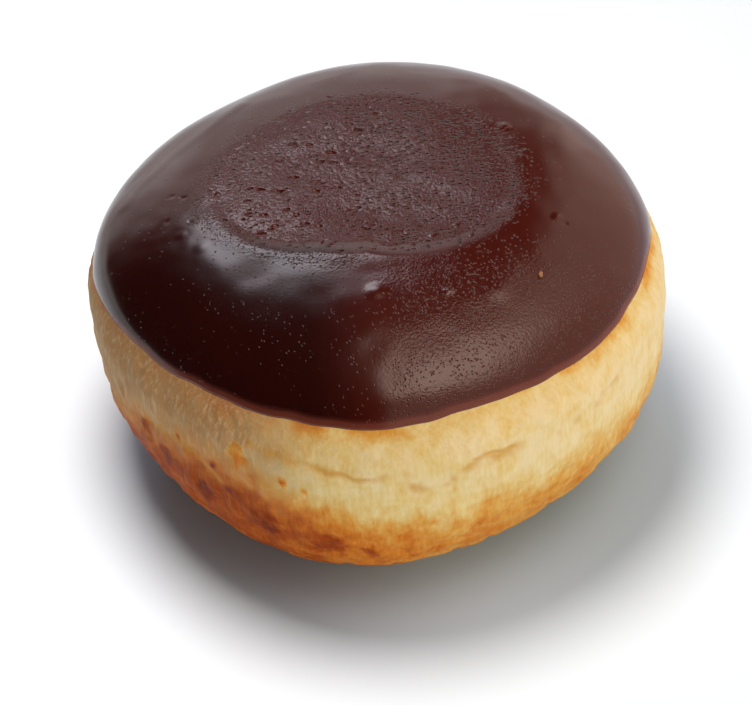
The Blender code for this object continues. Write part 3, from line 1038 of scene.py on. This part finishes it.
@dataclass(frozen=True)
class RoundLight:
    """A near round softbox that lights one piece alone; the white floor has a radiance of 1."""

    name: str
    place: tuple
    size: float
    radiance: float
    colour: tuple
    points_down: bool = True
    casts_shadow: bool = True

    def build(self, lit_piece: bpy.types.Object) -> None:
        """Adds the light, which points down or at the doughnut."""
        data = bpy.data.lights.new(self.name, "AREA")
        data.shape = "DISK"
        data.size = self.size
        data.energy = self.radiance * math.pi * math.pi * self.size ** 2 / 4
        data.color = self.colour
        data.use_shadow = self.casts_shadow
        light = bpy.data.objects.new(self.name, data)
        light.location = self.place
        if not self.points_down:
            light.rotation_euler = Vector(self.place).to_track_quat("Z", "Y").to_euler()
        bpy.context.scene.collection.objects.link(light)
        lit = bpy.data.collections.new("lit_by_" + self.name)
        lit.objects.link(lit_piece)
        light.light_linking.receiver_collection = lit


@dataclass(frozen=True)
class Studio:
    """The plain white floor, the softboxes and the light over the floor."""

    softboxes: dict = field(default_factory=lambda: {
        "key": Softbox((-0.01, 0.03), (0.70, 0.40), (-0.56, -0.28), (0.34, 0.02), 3.3, (1.0, 0.80, 0.66)),
        "right_fill": Softbox((-0.01, 0.03), (2.0, 1.5), (-2.0, -1.5), (0.40, 0.16), 0.8, (1.0, 0.80, 0.66)),
        "right_panel": Softbox((0.34, 0.40), (2.0, 1.5), (0.16, 0.40), (2.0, 1.5), 1.0, (1.0, 0.82, 0.70)),
        "back_left": Softbox((-0.40, -0.29), (0.05, -0.02), (0.545, 0.615), (0.75, 0.69), 6.6, (0.96, 0.92, 1.0)),
        "back_corner": Softbox((-0.84, -0.70), (-0.22, -0.36), (0.66, 0.78), (2.0, 1.5), 0.7),
        "back_middle": Softbox((-0.30, -0.18), (0.17, 0.07), (0.68, 0.74), (0.98, 0.86), 0.27, (1.0, 0.90, 0.88)),
        "back_wall": Softbox((-0.80, -0.62), (0.22, 0.12), (0.78, 0.92), (2.0, 1.5), 0.75),
        "back_right": Softbox((0.08, 0.18), (0.95, 0.60), (0.86, 0.93), (2.0, 1.5), 0.44, (1.0, 0.88, 0.80)),
    })
    ambient: tuple = (0.02, 0.02, 0.02)
    near_colour: str = "#a9c1d8"
    far_colour: str = "#b4bac0"
    near_radius: tuple = (60.0 * MM, 600.0 * MM)
    glow_radius: tuple = (260.0 * MM, 520.0 * MM)
    glow: float = 0.50
    floor_half_width: float = 3.0
    floor_light: RoundLight = RoundLight(
        "floor_light", (-36.0 * MM, 23.0 * MM, 330.0 * MM), 140.0 * MM, 48.0, (1.0, 0.723, 0.557),
    )
    floor_fill: RoundLight = RoundLight(
        "floor_fill", (4.0 * MM, -27.0 * MM, 14.0 * MM), 48.0 * MM, 0.80, (1.0, 0.75, 0.61),
        casts_shadow=False,
    )
    dough_fill: RoundLight = RoundLight(
        "dough_fill", (110.0 * MM, -510.0 * MM, 90.0 * MM), 420.0 * MM, 1.0, (1.0, 0.96, 0.90),
        points_down=False,
    )

    def build(self, dough: bpy.types.Object) -> None:
        """Builds the floor, the lights and the world; the low fill light lights the dough alone."""
        floor = self.build_floor()
        self.floor_light.build(floor)
        self.floor_fill.build(floor)
        self.dough_fill.build(dough)
        self.build_world()

    def build_floor(self) -> bpy.types.Object:
        """A wide matt floor just under the doughnut."""
        bm = bmesh.new()
        bmesh.ops.create_grid(bm, x_segments=1, y_segments=1, size=self.floor_half_width)
        mesh = bpy.data.meshes.new("floor")
        bm.to_mesh(mesh)
        bm.free()
        # Pressed card gives the eye an even pale ground with soft shadows and no gloss. It glows
        # towards its rim, where the table behind it is lit until it is white.
        material, tree, shader = new_material(
            "matt_pale_card", Roughness=0.9, Specular_IOR_Level=0.0, Emission_Color=(1.0, 1.0, 1.0, 1.0),
        )
        place = add_node(tree, "ShaderNodeTexCoord").outputs["Object"]
        distance = add_node(tree, "ShaderNodeVectorMath", {"operation": "LENGTH"}, Vector=place)
        near, far = self.near_radius
        outward = add_node(
            tree, "ShaderNodeMapRange", {"interpolation_type": "SMOOTHSTEP"},
            Value=distance.outputs["Value"], From_Min=near, From_Max=far,
        )
        colour = add_node(
            tree, "ShaderNodeMix", {"data_type": "RGBA"},
            in_0=outward.outputs[0], in_6=linear(self.near_colour), in_7=linear(self.far_colour),
        )
        tree.links.new(colour.outputs[2], shader.inputs["Base Color"])
        near, far = self.glow_radius
        glow = add_node(
            tree, "ShaderNodeMapRange", {"interpolation_type": "SMOOTHSTEP"},
            Value=distance.outputs["Value"], From_Min=near, From_Max=far, To_Max=self.glow,
        )
        tree.links.new(glow.outputs[0], shader.inputs["Emission Strength"])
        mesh.materials.append(material)
        floor = bpy.data.objects.new("floor", mesh)
        bpy.context.scene.collection.objects.link(floor)
        return floor

    def build_world(self) -> None:
        """A dark studio with softboxes to the right, at the back and at the back left."""
        world = bpy.data.worlds.new("studio")
        world.use_nodes = True
        tree = world.node_tree
        direction = add_node(tree, "ShaderNodeTexCoord").outputs["Generated"]
        parts = add_node(tree, "ShaderNodeSeparateXYZ", Vector=direction)
        total = self.ambient
        for softbox in self.softboxes.values():
            light = softbox.build(tree, parts.outputs["X"], parts.outputs["Y"])
            both = add_node(tree, "ShaderNodeVectorMath", {"operation": "ADD"}, in_0=light, in_1=total)
            total = both.outputs["Vector"]
        background = tree.nodes["Background"]
        tree.links.new(total, background.inputs["Color"])
        bpy.context.scene.world = world


@dataclass(frozen=True)
class StudioCamera:
    """The camera: a long lens that looks down on the doughnut from the front."""

    elevation: float = 44.5
    roll: float = 4.98
    distance: float = 540.0 * MM
    target_height: float = 24.75 * MM
    focal_pixels: float = 3350.0
    target_right_pixels: float = 4.25
    target_up_pixels: float = 32.4

    def build(self) -> bpy.types.Object:
        """Adds the camera and makes it the scene's own."""
        elevation, roll = math.radians(self.elevation), math.radians(self.roll)
        forward = Vector((0.0, math.cos(elevation), -math.sin(elevation)))
        level_up = Vector((0.0, math.sin(elevation), math.cos(elevation)))
        level_right = Vector((1.0, 0.0, 0.0))
        right = level_right * math.cos(roll) - level_up * math.sin(roll)
        up = level_right * math.sin(roll) + level_up * math.cos(roll)
        target = Vector((0.0, 0.0, self.target_height))
        eye = target - forward * self.distance
        per_pixel = self.distance / self.focal_pixels
        middle = target - (right * self.target_right_pixels + up * self.target_up_pixels) * per_pixel
        back = (eye - middle).normalized()
        right = up.cross(back).normalized()
        up = back.cross(right)
        data = bpy.data.cameras.new("camera")
        data.sensor_width = SENSOR_WIDTH_MM
        data.lens = self.focal_pixels / PHOTO_WIDTH * SENSOR_WIDTH_MM
        data.clip_start, data.clip_end = 0.01, 20.0
        camera = bpy.data.objects.new("camera", data)
        camera.matrix_world = Matrix.Translation(eye) @ Matrix((right, up, back)).transposed().to_4x4()
        bpy.context.scene.collection.objects.link(camera)
        bpy.context.scene.camera = camera
        return camera


def main() -> None:
    """Builds the studio and the doughnut's pieces."""
    logging.basicConfig(level=logging.INFO, format="%(message)s")
    bpy.context.scene.view_settings.view_transform = "Standard"
    StudioCamera().build()
    form = DoughnutForm()
    layer = IcingLayer(form)
    dough = DoughBody(form, layer).build()
    icing = IcingCap(form, layer).build()
    LooseCrumbs(FriedYeastDough(), icing).build()
    Studio().build(dough)


if __name__ == "__main__":
    main()
